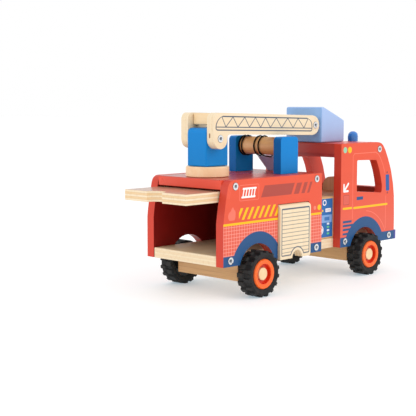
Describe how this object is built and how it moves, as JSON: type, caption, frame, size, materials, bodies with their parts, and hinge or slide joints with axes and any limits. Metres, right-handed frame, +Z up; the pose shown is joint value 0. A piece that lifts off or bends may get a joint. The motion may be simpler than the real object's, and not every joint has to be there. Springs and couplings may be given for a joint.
{
  "type": "toy fire engine",
  "caption": "Painted plywood toy fire engine with a turning crane and basket, hose drum, tail hatch, side shutters, open cab and rubber-tyred rolling wheels.",
  "frame": {"origin": "on the floor under the centre of the bounding box, hatch open and boom lowered", "axes": "+X forward, from the tail hatch to the cab and bumper; +Y the vehicle's left; +Z up"},
  "size_m": [0.4042, 0.154, 0.2262],
  "materials": {
    "red_paint": "plywood in glossy coral-red paint with printed graphics",
    "natural_ply": "unpainted pale plywood with visible layers on its edges",
    "hardwood": "plain brown wood, satin",
    "blue_paint": "wood in glossy bright blue paint",
    "bumper_blue": "wood in dark blue paint",
    "basket_blue": "wood in light periwinkle paint",
    "bolt_steel": "satin steel",
    "tyre_rubber": "matt black rubber with a chunky tread",
    "rim_orange": "glossy orange plastic",
    "hose_black": "black cord",
    "nozzle_grey": "grey-violet, satin"
  },
  "bodies": {
    "body": {"left_rear_side_panel": "red_paint", "right_rear_side_panel": "red_paint", "left_cab_panel": "red_paint", "right_cab_panel": "red_paint", "floor_board": "natural_ply", "rear_roof": "red_paint", "hold_bulkhead": "red_paint", "cab_roof": "red_paint", "cab_front_panel": "red_paint", "front_bumper": "bumper_blue", "pump_block": "natural_ply", "crew_deck": "hardwood", "driver_seat": "hardwood", "left_roof_light": "blue_paint", "right_roof_light": "blue_paint", "rear_axle_block": "hardwood", "front_axle_block": "hardwood", "left_hose_post": "blue_paint", "right_hose_post": "blue_paint", "hose_tail": "hose_black", "hose_nozzle": "nozzle_grey", "rear_low_tie_bolt": "bolt_steel", "rear_high_tie_bolt": "bolt_steel", "middle_high_tie_bolt": "bolt_steel", "middle_low_tie_bolt": "bolt_steel", "cab_rear_tie_bolt": "bolt_steel", "cab_front_tie_bolt": "bolt_steel", "cab_roof_tie_bolt": "bolt_steel"},
    "rear_wheels": {"rear_axle": "natural_ply", "rear_left_tyre": "tyre_rubber", "rear_left_rim": "rim_orange", "rear_right_tyre": "tyre_rubber", "rear_right_rim": "rim_orange"},
    "front_wheels": {"front_axle": "natural_ply", "front_left_tyre": "tyre_rubber", "front_left_rim": "rim_orange", "front_right_tyre": "tyre_rubber", "front_right_rim": "rim_orange"},
    "turntable": {"turntable_disc": "natural_ply", "crane_block": "blue_paint", "boom_pivot_bolt": "bolt_steel"},
    "boom": {"left_boom_arm": "natural_ply", "right_boom_arm": "natural_ply", "boom_cross_bar": "natural_ply", "basket_pivot_bolt": "bolt_steel"},
    "basket": {"basket_floor": "basket_blue", "basket_left_side": "basket_blue", "basket_right_side": "basket_blue", "basket_rear_wall": "basket_blue", "basket_front_wall": "basket_blue", "basket_tongue": "natural_ply"},
    "hatch": {"rear_hatch": "natural_ply", "hatch_pin": "natural_ply"},
    "left_shutter_leaf": {"left_shutter": "natural_ply", "left_shutter_pin": "bolt_steel"},
    "right_shutter_leaf": {"right_shutter": "natural_ply", "right_shutter_pin": "bolt_steel"},
    "drum": {"hose_drum": "hardwood", "hose_winding": "hose_black"}
  },
  "joints": [
    {"name": "rear_axle_spin", "type": "hinge", "parent": "body", "child": "rear_wheels", "pos_m": [-0.09435, 0, 0.028], "axis": [0, 1, 0], "continuous": true},
    {"name": "front_axle_spin", "type": "hinge", "parent": "body", "child": "front_wheels", "pos_m": [0.12465, 0, 0.028], "axis": [0, 1, 0], "continuous": true},
    {"name": "turntable_yaw", "type": "hinge", "parent": "body", "child": "turntable", "pos_m": [-0.11385, 0, 0.1427], "axis": [0, 0, 1], "continuous": true},
    {"name": "boom_lift", "type": "hinge", "parent": "turntable", "child": "boom", "pos_m": [-0.12005, 0, 0.189], "axis": [0, -1, 0], "range_deg": [0, 65]},
    {"name": "basket_tilt", "type": "hinge", "parent": "boom", "child": "basket", "pos_m": [0.06285, 0, 0.2024], "axis": [0, -1, 0], "range_deg": [0, 35]},
    {"name": "hatch_swing", "type": "hinge", "parent": "body", "child": "hatch", "pos_m": [-0.13835, 0, 0.1226], "axis": [0, -1, 0], "range_deg": [0, 90]},
    {"name": "left_shutter_swing", "type": "hinge", "parent": "body", "child": "left_shutter_leaf", "pos_m": [-0.0266, 0.0628, 0.1018], "axis": [1, 0, 0], "range_deg": [-3, 80]},
    {"name": "right_shutter_swing", "type": "hinge", "parent": "body", "child": "right_shutter_leaf", "pos_m": [-0.0266, -0.0628, 0.1018], "axis": [-1, 0, 0], "range_deg": [-3, 80]},
    {"name": "drum_spin", "type": "hinge", "parent": "body", "child": "drum", "pos_m": [-0.01055, 0, 0.1767], "axis": [0, 1, 0], "continuous": true}
  ]
}
